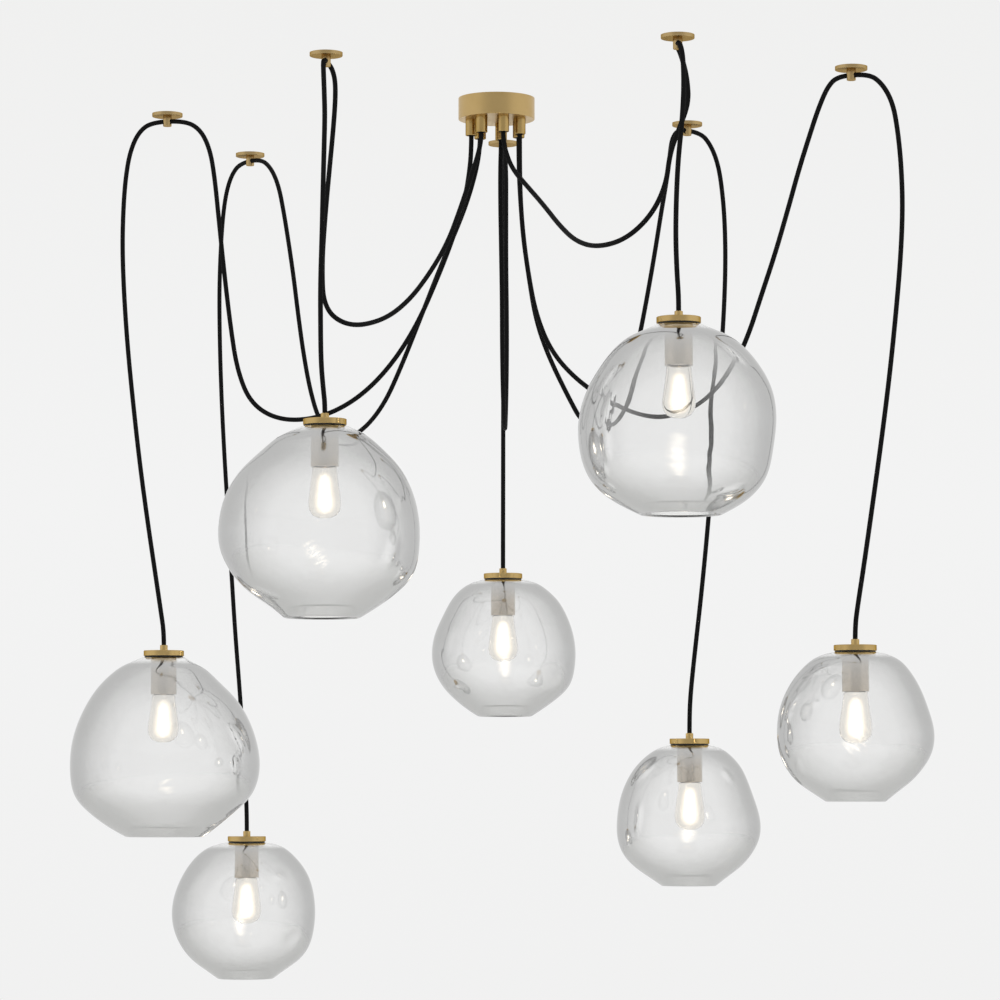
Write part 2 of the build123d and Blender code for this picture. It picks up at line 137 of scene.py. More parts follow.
def add_floor():
    """Round matt floor, seen only from above, that thins out into the room at its edge."""
    level = -1.95
    radius = 6.0
    edge_count = 96
    mesh = bpy.data.meshes.new("studio_floor")
    edge = [
        (radius * math.cos(a), radius * math.sin(a), level)
        for a in np.linspace(0, 2 * math.pi, edge_count, endpoint=False)
    ]
    mesh.from_pydata(edge, [], [list(range(len(edge)))])
    floor = bpy.data.objects.new("studio_floor", mesh)
    scene.collection.objects.link(floor)
    paper = bpy.data.materials.new("floor_paper")
    paper.use_nodes = True
    tree = paper.node_tree
    tree.nodes.clear()
    place = node(tree, "ShaderNodeTexCoord").outputs["Object"]
    fibre = node(tree, "ShaderNodeTexNoise", {"Vector": place, "Scale": 9.0, "Detail": 6.0})
    tone = node(tree, "ShaderNodeValToRGB", {"Fac": fibre.outputs["Fac"]})
    tone.color_ramp.elements[0].color = (0.83, 0.835, 0.83, 1)
    tone.color_ramp.elements[1].color = (0.87, 0.875, 0.87, 1)
    matt = node(tree, "ShaderNodeBsdfDiffuse", {"Color": tone.outputs[0], "Roughness": 1.0})
    flat = node(tree, "ShaderNodeVectorMath", {0: place, 1: (1, 1, 0)}, operation="MULTIPLY")
    out = node(tree, "ShaderNodeVectorMath", {0: flat.outputs[0]}, operation="LENGTH")
    fade = node(
        tree,
        "ShaderNodeMapRange",
        {"Value": out.outputs["Value"], "From Min": 2.0, "From Max": 5.6},
        interpolation_type="SMOOTHSTEP",
    )
    underside = node(tree, "ShaderNodeNewGeometry").outputs["Backfacing"]
    gone = math_node(tree, "MAXIMUM", fade.outputs[0], underside)
    clear = node(tree, "ShaderNodeBsdfTransparent")
    both = node(tree, "ShaderNodeMixShader", {0: gone, 1: matt.outputs[0], 2: clear.outputs[0]})
    node(tree, "ShaderNodeOutputMaterial", {"Surface": both.outputs[0]})
    mesh.materials.append(paper)


scene.view_settings.view_transform = "Standard"
add_camera()
add_room_light()
add_softbox("key_softbox", (-2.6, -3.6, 1.6), (0, 0, -0.6), 2.6, 95, (1.0, 0.985, 0.96))
add_softbox("fill_softbox", (3.2, -2.4, 0.4), (0, 0, -0.6), 2.2, 45, (0.97, 0.985, 1.0))
add_softbox("back_softbox", (0.6, 3.8, 1.8), (0, 0, -0.5), 2.4, 55, (1.0, 1.0, 1.0))
add_floor()


# ---- Ceiling canopy -----------------------------------------------------------------------
# A spun brass cup, lacquered satin, that covers the wiring on the ceiling. Fine turning lines
# run round it, and handling has left soft, slightly darker patches in the lacquer.
def metal_finish_group():
    """Group: turning lines, patches of handling and tiny scratches, from places on the metal."""
    group = bpy.data.node_groups.new("metal_finish", "ShaderNodeTree")
    face = group.interface
    for name, kind, value in (
        ("Metal", "NodeSocketColor", (0.6, 0.45, 0.2, 1)),
        ("Patina", "NodeSocketColor", (0.4, 0.3, 0.12, 1)),
        ("Line Scale", "NodeSocketFloat", 900.0),
        ("Gloss", "NodeSocketFloat", 0.3),
        ("Handling", "NodeSocketFloat", 0.35),
    ):
        face.new_socket(name, in_out="INPUT", socket_type=kind).default_value = value
    face.new_socket("Color", in_out="OUTPUT", socket_type="NodeSocketColor")
    face.new_socket("Roughness", in_out="OUTPUT", socket_type="NodeSocketFloat")
    face.new_socket("Height", in_out="OUTPUT", socket_type="NodeSocketFloat")
    given = node(group, "NodeGroupInput").outputs
    place = node(group, "ShaderNodeTexCoord").outputs["Object"]
    stretched = node(
        group, "ShaderNodeVectorMath", {0: place, 1: (0.03, 0.03, 1.0)}, operation="MULTIPLY"
    )
    lines = node(
        group,
        "ShaderNodeTexNoise",
        {"Vector": stretched.outputs[0], "Scale": given["Line Scale"], "Detail": 3.0},
    ).outputs["Fac"]
    patches = node(
        group, "ShaderNodeTexNoise", {"Vector": place, "Scale": 38.0, "Detail": 4.0}
    ).outputs["Fac"]
    specks = node(
        group, "ShaderNodeTexNoise", {"Vector": place, "Scale": 1600.0, "Detail": 2.0}
    ).outputs["Fac"]
    worn = node(
        group,
        "ShaderNodeMapRange",
        {"Value": patches, "From Min": 0.42, "From Max": 0.72, "To Max": 0.9},
    ).outputs[0]
    worn = math_node(group, "MULTIPLY", worn, given["Handling"], clamp=True)
    colour = node(
        group,
        "ShaderNodeMix",
        {"Factor": worn, "A": given["Metal"], "B": given["Patina"]},
        data_type="RGBA",
    )
    grain = math_node(group, "MULTIPLY_ADD", lines, 0.12)
    grain.node.inputs[2].default_value = -0.06
    rough = math_node(group, "ADD", given["Gloss"], grain)
    rough = math_node(group, "ADD", rough, math_node(group, "MULTIPLY", worn, 0.12))
    height = math_node(group, "ADD", lines, math_node(group, "MULTIPLY", specks, 0.35))
    node(
        group,
        "NodeGroupOutput",
        {"Color": colour.outputs["Result"], "Roughness": rough, "Height": height},
    )
    return group


metal_finish = metal_finish_group()


def metal(name, colour, patina, gloss, lines=900.0, handling=0.35, bump=0.00002, slant=None):
    """Metal surface: the finish group drives colour, roughness and a fine bump."""
    made = bpy.data.materials.new(name)
    made.use_nodes = True
    tree = made.node_tree
    shader = tree.nodes["Principled BSDF"]
    finish = node(tree, "ShaderNodeGroup", node_tree=metal_finish)
    finish.inputs["Metal"].default_value = (*colour, 1)
    finish.inputs["Patina"].default_value = (*patina, 1)
    finish.inputs["Line Scale"].default_value = lines
    finish.inputs["Gloss"].default_value = gloss
    finish.inputs["Handling"].default_value = handling
    relief = node(
        tree,
        "ShaderNodeBump",
        {"Height": finish.outputs["Height"], "Distance": bump, "Strength": 0.5},
    )
    shader.inputs["Metallic"].default_value = 1.0
    shader.inputs["Specular Tint"].default_value = (*(slant or (1, 1, 1)), 1)
    tree.links.new(finish.outputs["Color"], shader.inputs["Base Color"])
    tree.links.new(finish.outputs["Roughness"], shader.inputs["Roughness"])
    tree.links.new(relief.outputs["Normal"], shader.inputs["Normal"])
    return made


def finish_node(node_name, material):
    """Give a piece that keeps its own solid shape its material."""
    piece = frame["nodes"][node_name]
    piece.data.materials.clear()
    piece.data.materials.append(material)


canopy_brass = metal("canopy_satin_brass", (0.56, 0.395, 0.170), (0.50, 0.340, 0.13), 0.34)
finish_node("canopy_cover", canopy_brass)


# ---- Fixing bar, screws and terminal block -------------------------------------------------
# Inside the cup a zinc-plated steel bar is screwed to the ceiling box. Two grub screws hold the
# cup on its bent ends, and a round ceramic block joins the cord ends to the supply.
zinc = metal("zinc_plate", (0.56, 0.57, 0.58), (0.40, 0.40, 0.42), 0.38, lines=300.0, handling=0.6)
screw_steel = metal("screw_steel", (0.50, 0.50, 0.50), (0.32, 0.31, 0.30), 0.30, lines=1500.0)
finish_node("mounting_bar", zinc)
finish_node("grip_locknuts", zinc)
finish_node("canopy_grub_screws", screw_steel)
finish_node("ground_screw", screw_steel)


def mineral(name, colour, spots, spot_scale, roughness, bump):
    """Fired or moulded matt material: a body colour with fine spots and a dry surface."""
    made = bpy.data.materials.new(name)
    made.use_nodes = True
    tree = made.node_tree
    shader = tree.nodes["Principled BSDF"]
    place = node(tree, "ShaderNodeTexCoord").outputs["Object"]
    fine = node(
        tree, "ShaderNodeTexNoise", {"Vector": place, "Scale": spot_scale, "Detail": 5.0}
    ).outputs["Fac"]
    tone = node(tree, "ShaderNodeValToRGB", {"Fac": fine})
    tone.color_ramp.elements[0].position = 0.36
    tone.color_ramp.elements[0].color = (*spots, 1)
    tone.color_ramp.elements[1].position = 0.52
    tone.color_ramp.elements[1].color = (*colour, 1)
    rough = node(
        tree,
        "ShaderNodeMapRange",
        {"Value": fine, "To Min": roughness - 0.08, "To Max": roughness + 0.08},
    )
    relief = node(tree, "ShaderNodeBump", {"Height": fine, "Distance": bump, "Strength": 0.6})
    tree.links.new(tone.outputs[0], shader.inputs["Base Color"])
    tree.links.new(rough.outputs[0], shader.inputs["Roughness"])
    tree.links.new(relief.outputs["Normal"], shader.inputs["Normal"])
    return made


block_ceramic = mineral(
    "terminal_ceramic", (0.80, 0.77, 0.71), (0.62, 0.58, 0.51), 700.0, 0.55, 0.00003
)
lead_sheath = mineral(
    "lead_sheath", (0.022, 0.022, 0.023), (0.012, 0.012, 0.012), 900.0, 0.45, 0.00002
)
finish_node("terminal_block", block_ceramic)
finish_node("lead_wires", lead_sheath)


# ---- Cord grips -----------------------------------------------------------------------------
# Seven turned brass tubes stand in a ring under the cup, one for each cord. A black bush in each
# mouth clamps the cord.
grip_brass = metal(
    "grip_satin_brass", (0.52, 0.36, 0.14), (0.40, 0.27, 0.09), 0.22, lines=1400.0,
    slant=(0.30, 0.22, 0.12),
)
bush_black = mineral(
    "bush_black", (0.018, 0.018, 0.018), (0.010, 0.010, 0.010), 1200.0, 0.6, 0.00002
)
finish_node("cord_grips", grip_brass)
finish_node("grip_bushes", bush_black)


# ---- Ceiling hooks --------------------------------------------------------------------------
# A brass disc is screwed flat to the ceiling above each lamp. The turned stem below it has a
# cross-hole, and the cord lies in that hole.
hook_brass = metal(
    "hook_satin_brass", (0.50, 0.36, 0.17), (0.38, 0.26, 0.11), 0.24, lines=1200.0,
    slant=(0.55, 0.45, 0.30),
)
finish_node("hook_plates", hook_brass)
finish_node("hook_stems", hook_brass)


# ---- Cords ----------------------------------------------------------------------------------
# Black cord of 6.4 mm with a braided textile sleeve. Each one leaves its grip straight down,
# swags to its own hook, and hangs from the hook to its lamp.
lamp_numbers = range(1, 8)

# Route of each swag: (distance from the grip towards the hook, height, distance to the left).
swag_routes = {
    1: [(0, -0.062, 0), (0.0015, -0.092, 0), (0.009, -0.138, 0), (0.025, -0.188, 0), (0.046, -0.24, 0),
        (0.076, -0.306, 0), (0.115, -0.363, 0), (0.161, -0.405, 0), (0.214, -0.429, 0),
        (0.271, -0.431, 0), (0.313, -0.407, 0), (0.333, -0.36, 0), (0.343, -0.3, 0), (0.353, -0.222, 0),
        (0.361, -0.15, 0), (0.367, -0.095, 0), (0.374, -0.054, 0), (0.388, -0.025, 0)],
    2: [(0, -0.058, 0), (0.005, -0.081, -0.002), (0.02, -0.114, -0.004), (0.044, -0.158, -0.004),
        (0.074, -0.208, -0.004), (0.11, -0.253, -0.008), (0.155, -0.296, -0.012),
        (0.212, -0.327, -0.013), (0.282, -0.342, -0.017), (0.32, -0.322, -0.029),
        (0.324, -0.265, -0.029), (0.323, -0.205, -0.025), (0.321, -0.145, -0.02), (0.32, -0.095, -0.015),
        (0.322, -0.055, -0.01), (0.328, -0.031, -0.006), (0.336, -0.0175, -0.005)],
    3: [(0, -0.056, 0), (0.005, -0.076, 0), (0.024, -0.105, 0.001), (0.066, -0.135, 0.002),
        (0.118, -0.167, -0.002), (0.178, -0.203, -0.011), (0.24, -0.232, -0.021), (0.3, -0.247, -0.024),
        (0.36, -0.244, -0.017), (0.398, -0.218, -0.002), (0.413, -0.18, 0.011), (0.419, -0.14, 0.013),
        (0.427, -0.108, 0.023), (0.435, -0.078, 0.031), (0.44, -0.05, 0.026), (0.4425, -0.03, 0.019),
        (0.4455, -0.017, 0.012)],
    4: [(0, -0.06, 0), (0.004, -0.09, 0.001), (0.014, -0.136, 0.001), (0.027, -0.196, 0),
        (0.043, -0.262, -0.001), (0.064, -0.33, -0.001), (0.096, -0.397, -0.002),
        (0.147, -0.441, -0.004), (0.199, -0.402, -0.005), (0.228, -0.335, -0.006),
        (0.238, -0.265, -0.006), (0.243, -0.19, -0.005), (0.245, -0.138, -0.005),
        (0.247, -0.095, -0.005), (0.254, -0.054, -0.005), (0.268, -0.025, -0.003)],
    5: [(0, -0.088, 0), (0.003, -0.138, 0), (0.008, -0.188, 0), (0.017, -0.24, 0), (0.029, -0.298, 0),
        (0.05, -0.345, 0), (0.082, -0.396, 0), (0.11, -0.436, 0), (0.15, -0.438, 0), (0.176, -0.4, 0),
        (0.196, -0.35, 0), (0.211, -0.295, 0), (0.224, -0.24, 0), (0.236, -0.185, 0), (0.246, -0.135, 0),
        (0.254, -0.098, 0), (0.26, -0.068, 0), (0.263, -0.045, 0), (0.267, -0.024, 0)],
    6: [(0, -0.088, 0), (0.001, -0.138, 0), (0.005, -0.19, 0), (0.013, -0.242, 0), (0.024, -0.296, 0),
        (0.046, -0.347, 0), (0.084, -0.388, 0), (0.134, -0.421, 0), (0.198, -0.448, 0),
        (0.258, -0.438, 0), (0.303, -0.398, 0), (0.331, -0.348, 0), (0.352, -0.29, 0),
        (0.372, -0.236, 0), (0.39, -0.18, 0), (0.406, -0.128, 0), (0.42, -0.088, 0), (0.433, -0.052, 0),
        (0.447, -0.0225, 0)],
    7: [(0, -0.058, 0), (0.006, -0.086, 0), (0.022, -0.122, 0), (0.044, -0.158, 0), (0.086, -0.214, 0),
        (0.132, -0.282, 0), (0.176, -0.346, 0), (0.216, -0.397, 0), (0.268, -0.431, 0),
        (0.325, -0.441, 0), (0.369, -0.409, 0), (0.392, -0.362, 0), (0.409, -0.306, 0),
        (0.422, -0.25, 0), (0.434, -0.192, 0), (0.447, -0.14, 0), (0.459, -0.096, 0), (0.472, -0.056, 0),
        (0.492, -0.027, 0)],
}

# Route of each hanging cord: (distance out of the hook's hole, height, distance to the left).
drop_routes = {
    1: [(0.043, -0.025, 0), (0.055, -0.052, 0), (0.061, -0.088, 0), (0.064, -0.13, 0),
        (0.065, -0.185, 0), (0.062, -0.25, 0), (0.056, -0.325, 0), (0.047, -0.405, 0),
        (0.037, -0.485, 0), (0.025, -0.565, 0), (0.0135, -0.635, 0), (0.0045, -0.69, 0), (0, -0.718, 0)],
    2: [(0.016, -0.0142, 0), (0.0205, -0.0215, 0.001), (0.023, -0.034, 0.002), (0.026, -0.055, 0.0035),
        (0.0285, -0.085, 0.005), (0.03, -0.125, 0.0045), (0.029, -0.178, 0.003), (0.027, -0.235, 0.0015),
        (0.024, -0.298, -0.001), (0.018, -0.35, -0.002), (0.01, -0.397, -0.003), (0.003, -0.43, -0.0015),
        (0, -0.448, 0)],
    3: [(0.016, -0.0142, 0.0005), (0.0205, -0.0215, 0.002), (0.0225, -0.034, 0.0035),
        (0.024, -0.056, 0.0042), (0.0255, -0.084, 0.0035), (0.027, -0.118, 0.001),
        (0.027, -0.16, -0.0035), (0.023, -0.208, -0.0055), (0.016, -0.256, -0.0055),
        (0.008, -0.298, -0.003), (0.0015, -0.322, -0.0005), (0, -0.3365, 0)],
    4: [(0.043, -0.026, 0), (0.056, -0.053, 0), (0.062, -0.09, 0), (0.065, -0.132, 0), (0.064, -0.19, 0),
        (0.059, -0.255, 0), (0.051, -0.325, 0), (0.04, -0.395, 0), (0.028, -0.462, 0),
        (0.015, -0.522, 0), (0.005, -0.57, 0), (0, -0.597, 0)],
    5: [(0.043, -0.028, 0), (0.056, -0.054, 0), (0.063, -0.09, 0), (0.0675, -0.135, 0),
        (0.0685, -0.195, 0), (0.065, -0.265, 0), (0.0575, -0.345, 0), (0.0485, -0.425, 0),
        (0.041, -0.505, 0), (0.032, -0.585, 0), (0.0215, -0.665, 0), (0.0095, -0.745, 0),
        (0.002, -0.8, 0), (0, -0.834, 0)],
    6: [(0.043, -0.026, 0), (0.057, -0.052, 0), (0.0635, -0.088, 0), (0.068, -0.135, 0),
        (0.0695, -0.19, 0), (0.066, -0.255, 0), (0.0585, -0.33, 0), (0.049, -0.41, 0),
        (0.0375, -0.49, 0), (0.025, -0.57, 0), (0.013, -0.645, 0), (0.004, -0.697, 0), (0, -0.724, 0)],
    7: [(0.048, -0.026, 0), (0.062, -0.052, 0), (0.07, -0.088, 0), (0.075, -0.135, 0),
        (0.078, -0.195, 0), (0.076, -0.27, 0), (0.071, -0.35, 0), (0.063, -0.435, 0),
        (0.0525, -0.525, 0), (0.043, -0.61, 0), (0.0325, -0.7, 0), (0.02, -0.785, 0), (0.01, -0.865, 0),
        (0.004, -0.925, 0), (0, -0.966, 0)],
}

# Straight run of each cord beside its hook's hole, length of each cord, and the grip it leaves.
swag_leads = {1: 0.026, 2: 0.011, 3: 0.012, 4: 0.026, 5: 0.016, 6: 0.018, 7: 0.026}
drop_leads = {1: 0.024, 2: 0.009, 3: 0.009, 4: 0.024, 5: 0.024, 6: 0.024, 7: 0.026}
swag_lengths = {1: 1.011, 2: 0.809, 3: 0.724, 4: 0.928, 5: 0.917, 6: 1.051, 7: 1.049}
drop_lengths = {1: 0.769, 2: 0.472, 3: 0.357, 4: 0.651, 5: 0.888, 6: 0.777, 7: 1.031}
grip_of_lamp = {1: 6, 2: 0, 3: 1, 4: 4, 5: 3, 6: 2, 7: 5}
cord_diameter = 0.0064
pick_length = 0.0022
picks_around = 8
hinges = {joint["child"]: joint for joint in frame["joints"]}


def braid_group():
    """Group: two sets of strands that cross, from the cord's own length and girth, with painted shade in
    the grooves between them.
    """
    group = bpy.data.node_groups.new("braided_sleeve", "ShaderNodeTree")
    face = group.interface
    for name, kind, value in (
        ("Strand", "NodeSocketColor", (0.03, 0.03, 0.03, 1)),
        ("Painted Groove Shade", "NodeSocketColor", (0.006, 0.006, 0.006, 1)),
        ("Picks Along", "NodeSocketFloat", 400.0),
        ("Picks Around", "NodeSocketFloat", 12.0),
    ):
        face.new_socket(name, in_out="INPUT", socket_type=kind).default_value = value
    face.new_socket("Color", in_out="OUTPUT", socket_type="NodeSocketColor")
    face.new_socket("Roughness", in_out="OUTPUT", socket_type="NodeSocketFloat")
    face.new_socket("Height", in_out="OUTPUT", socket_type="NodeSocketFloat")
    given = node(group, "NodeGroupInput").outputs
    coords = node(group, "ShaderNodeTexCoord").outputs
    split = node(group, "ShaderNodeSeparateXYZ", {0: coords["UV"]}).outputs
    along = math_node(group, "MULTIPLY", split["X"], given["Picks Along"])
    around = math_node(group, "MULTIPLY", split["Y"], given["Picks Around"])
    crests = []
    for operation in ("ADD", "SUBTRACT"):
        turn = math_node(group, operation, along, around)
        wave = math_node(group, "SINE", math_node(group, "MULTIPLY", turn, math.tau))
        crests.append(math_node(group, "MULTIPLY_ADD", wave, 0.5))
        crests[-1].node.inputs[2].default_value = 0.5
    over = math_node(group, "MAXIMUM", *crests)
    fuzz = node(
        group, "ShaderNodeTexNoise", {"Vector": coords["Object"], "Scale": 2600.0, "Detail": 3.0}
    ).outputs["Fac"]
    height = math_node(group, "MULTIPLY_ADD", fuzz, 0.35)
    group.links.new(over, height.node.inputs[2])
    # The grooves between the crossing strands get a darker colour: painted shade.
    colour = node(
        group,
        "ShaderNodeMix",
        {"Factor": over, "A": given["Painted Groove Shade"], "B": given["Strand"]},
        data_type="RGBA",
    )
    rough = math_node(group, "MULTIPLY_ADD", fuzz, 0.3)
    rough.node.inputs[2].default_value = 0.62
    node(
        group,
        "NodeGroupOutput",
        {"Color": colour.outputs["Result"], "Roughness": rough, "Height": height},
    )
    return group


braided_sleeve = braid_group()


def braid(name, length):
    """Textile sleeve of one cord, with picks of one length whatever the cord's length."""
    made = bpy.data.materials.new(name)
    made.use_nodes = True
    tree = made.node_tree
    shader = tree.nodes["Principled BSDF"]
    sleeve = node(tree, "ShaderNodeGroup", node_tree=braided_sleeve)
    sleeve.inputs["Strand"].default_value = (0.0045, 0.0045, 0.0048, 1)
    # The groove colour, much darker than the strands, is painted shade in the braid's recesses.
    sleeve.inputs["Painted Groove Shade"].default_value = (0.001, 0.001, 0.001, 1)
    sleeve.inputs["Picks Along"].default_value = round(length / pick_length)
    sleeve.inputs["Picks Around"].default_value = picks_around
    relief = node(
        tree,
        "ShaderNodeBump",
        {"Height": sleeve.outputs["Height"], "Distance": 0.0003, "Strength": 0.7},
    )
    tree.links.new(sleeve.outputs["Color"], shader.inputs["Base Color"])
    tree.links.new(sleeve.outputs["Roughness"], shader.inputs["Roughness"])
    tree.links.new(relief.outputs["Normal"], shader.inputs["Normal"])
    shader.inputs["Specular IOR Level"].default_value = 0.12
    return made


def lay_cord(name, node_name, body, route, length):
    """One cord: a smooth line through its route, thick as the cord, in the braided sleeve."""
    line = bpy.data.curves.new(name, "CURVE")
    line.dimensions = "3D"
    line.bevel_depth = cord_diameter / 2
    line.bevel_resolution = 5
    line.use_fill_caps = True
    line.resolution_u = 10
    spline = line.splines.new("NURBS")
    spline.points.add(len(route) - 1)
    for point, place in zip(spline.points, route):
        point.co = (*place, 1)
    spline.order_u = 3
    spline.use_endpoint_u = True
    line.materials.append(braid(name + "_braid", length))
    cord = bpy.data.objects.new(name, line)
    scene.collection.objects.link(cord)
    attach(cord, body)
    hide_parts(node_name)


grip_count = 7
grip_ring = 0.034
grip_seat_level = -0.043
first_grip = math.radians(-126.2)
neck_seat_above_crown = 0.0104
for lamp in lamp_numbers:
    hinge = hinges[f"pendant_{lamp}"]
    hole = Vector(hinge["pos_m"])
    outward = Vector(hinge["axis"]).normalized()
    left = Vector((-outward.y, outward.x, 0))
    angle = first_grip + grip_of_lamp[lamp] * math.tau / grip_count
    grip = Vector((grip_ring * math.cos(angle), grip_ring * math.sin(angle), 0))
    across = Vector((hole.x, hole.y, 0)) - grip
    across.normalize()
    beside = Vector((-across.y, across.x, 0))
    swag = [grip + Vector((0, 0, grip_seat_level))]
    for ahead, level, aside in swag_routes[lamp]:
        swag.append(grip + across * ahead + beside * aside + Vector((0, 0, level)))
    swag += [hole - outward * swag_leads[lamp], hole]
    lay_cord(f"swag_{lamp}", f"swag_cord_{lamp}", "ceiling_set", swag, swag_lengths[lamp])
    top = Vector((hole.x, hole.y, 0))
    drop = [hole, hole + outward * drop_leads[lamp]]
    for out, level, aside in drop_routes[lamp]:
        drop.append(top + outward * out + left * aside + Vector((0, 0, level)))
    crown_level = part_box(f"cap_gasket_{lamp}")[0].z
    drop.append(top + Vector((0, 0, crown_level + neck_seat_above_crown)))
    lay_cord(f"drop_{lamp}", f"drop_cord_{lamp}", f"pendant_{lamp}", drop, drop_lengths[lamp])


# ---- Caps, gaskets and lampholders ----------------------------------------------------------
# A turned brass disc with a small neck closes each globe's crown, on a black rubber ring. The
# lampholder screws up into it through the glass and clamps the three together.
cap_brass = metal(
    "cap_satin_brass", (0.58, 0.41, 0.17), (0.42, 0.28, 0.10), 0.15, lines=1500.0,
    slant=(0.5, 0.4, 0.25),
)
holder_brass = metal(
    "lampholder_satin_brass", (0.54, 0.48, 0.40), (0.46, 0.40, 0.32), 0.20, lines=1100.0,
    handling=0.2, bump=0.000004,
)
gasket_rubber = mineral(
    "gasket_rubber", (0.020, 0.019, 0.018), (0.012, 0.012, 0.011), 1400.0, 0.6, 0.00002
)
for lamp in lamp_numbers:
    finish_node(f"shade_cap_{lamp}", cap_brass)
    finish_node(f"cap_gasket_{lamp}", gasket_rubber)
    finish_node(f"lampholder_{lamp}", holder_brass)


# ---- Glass globes ---------------------------------------------------------------------------
# Each globe is blown free-hand from clear glass about 3 mm thick and cut off flat below. No two
# are alike: the belly leans, the wall swells and thins, and dimples and tool marks stay in it.
wall = 3.0
crown_hole = 6.2
crown_flat = 28.0
crown_middle = 16
clamped_depth = 3
easing_depth = 22
belly_swell = 1.6
belly_waves = (90, 170)
wall_swell = 0.35
wall_waves = (60, 110)
drawn_in = 0.6
lip_rounding = 1.2
lip_shoulder = 0.3

# Millimetres. Outline: (depth below the crown, reach to the left, reach to the right).
# Marks on the near side: (distance to the right, depth, length, width, tilt in degrees, rise).
# Ripples on the far inner wall: (distance to the right, depth, spread, tilt, pitch, rise).
globes = {
    1: dict(
        outline=[(6, 43, 38), (16, 63, 57), (32, 82, 75), (55, 100, 98), (85, 115, 117),
                 (120, 125, 129), (155, 127, 132), (185, 122, 123), (210, 103, 100),
                 (231, 75, 75), (246, 48, 54)],
        marks=[(108, 112, 20, 9, -58, 3.0), (104, 147, 9, 7, -70, 2.2), (74, 226, 20, 6, 30, 1.2),
               (29, 14, 14, 7, 5, 0.8), (78, 127, 4, 4, 0, 0.6)],
        ripples=[(10, 170, 40, 100, 34, 1.0)],
    ),
    2: dict(
        outline=[(6, 42, 42), (16, 62, 59), (32, 81, 77), (55, 105, 97), (85, 124, 112),
                 (120, 133, 120), (155, 132, 120), (185, 118, 113), (209, 96, 93),
                 (229, 67, 66), (243, 49, 43)],
        marks=[(88, 166, 19, 10, 72, 2.8), (98, 99, 9, 5, 70, 0.7), (-19, 160, 22, 5, 25, 0.4),
               (-75, 212, 24, 6, -35, 1.6), (97, 190, 11, 4, 70, 1.4), (44, 14, 12, 6, -40, 1.0)],
        ripples=[(-14, 160, 30, 120, 24, 0.7), (-10, 152, 22, 65, 9, 0.1)],
    ),
    3: dict(
        outline=[(6, 40, 41), (16, 63, 64), (32, 82, 84), (55, 99, 102), (85, 115, 116),
                 (120, 124, 120), (155, 123, 116), (185, 114, 109), (208, 96, 94),
                 (225, 70, 72), (236, 47, 51)],
        marks=[(67, 44, 19, 7, -55, 2.4), (-90, 74, 19, 6, 70, 2.2), (-91, 112, 22, 6, 80, 1.4),
               (-92, 155, 17, 7, 85, 2.2), (-93, 186, 8, 4, 75, 1.4), (-86, 204, 8, 4, -50, 1.4),
               (61, 210, 17, 6, 25, 2.6)],
        ripples=[(0, 150, 30, 80, 24, 0.25)],
    ),
    4: dict(
        outline=[(5, 46, 48), (14, 61, 63), (28, 74, 78), (50, 86, 91), (75, 97, 100),
                 (100, 102, 104), (125, 100, 103), (148, 90, 97), (168, 73, 80), (184, 53, 58),
                 (196, 34, 39)],
        marks=[(-64, 157, 7, 4, 0, 1.4), (70, 139, 24, 18, 0, -1.8), (-78, 90, 18, 9, 80, 0.8)],
        ripples=[(5, 125, 22, 70, 15, 0.12)],
    ),
    5: dict(
        outline=[(5, 44, 44), (14, 59, 57), (28, 74, 70), (50, 88, 81), (75, 97, 90),
                 (100, 101, 97), (125, 101, 97), (148, 94, 87), (168, 77, 70), (184, 54, 49),
                 (195, 37, 34)],
        marks=[(-64, 37, 17, 6, 50, 2.2), (-74, 100, 20, 5, 85, 2.2), (-88, 137, 5, 4, 0, 1.2),
               (49, 42, 11, 6, -50, 1.6), (-30, 60, 20, 11, 30, 0.5)],
        ripples=[(0, 130, 22, 110, 13, 0.12)],
    ),
    6: dict(
        outline=[(5, 46, 46), (14, 61, 61), (28, 75, 73), (50, 89, 85), (75, 98, 94),
                 (100, 101, 100), (125, 99, 98), (148, 90, 86), (167, 75, 69), (182, 53, 49),
                 (192, 37, 36)],
        marks=[(-48, 23, 14, 5, 30, 1.6), (-86, 73, 18, 6, 70, 2.0), (-60, 68, 7, 5, 0, 1.0),
               (-76, 151, 14, 7, 60, 1.2), (25, 119, 26, 6, -60, 0.4)],
        ripples=[(14, 118, 32, 50, 26, 0.7), (14, 112, 20, 10, 9, 0.08)],
    ),
    7: dict(
        outline=[(5, 50, 49), (14, 66, 63), (28, 80, 77), (50, 94, 91), (75, 104, 98),
                 (100, 108, 100), (125, 105, 98), (148, 95, 92), (168, 79, 78), (184, 58, 56),
                 (197, 39, 37)],
        marks=[(70, 134, 14, 10, 30, -1.8), (52, 46, 11, 8, 0, 1.0), (-68, 54, 24, 14, 50, 0.7)],
        ripples=[(0, 128, 20, 75, 17, 0.14)],
    ),
}


def smooth_through(points, count):
    """Natural cubic through the points, at even steps of its chord length."""
    points = np.array(points, float)
    steps = np.sqrt((np.diff(points, axis=0) ** 2).sum(1))
    knots = np.concatenate([[0], np.cumsum(steps)])
    size = len(points)
    system = np.eye(size)
    sides = np.zeros_like(points)
    for i in range(1, size - 1):
        system[i, i - 1 : i + 2] = steps[i - 1], 2 * (steps[i - 1] + steps[i]), steps[i]
        rise = (points[i + 1] - points[i]) / steps[i] - (points[i] - points[i - 1]) / steps[i - 1]
        sides[i] = 6 * rise
    bend = np.linalg.solve(system, sides)
    at = np.linspace(0, knots[-1], count)
    i = np.clip(np.searchsorted(knots, at) - 1, 0, size - 2)
    h = steps[i][:, None]
    a = (knots[i + 1] - at)[:, None] / h
    b = 1 - a
    curve = (a**3 - a) * bend[i] + (b**3 - b) * bend[i + 1]
    return a * points[i] + b * points[i + 1] + curve * h**2 / 6


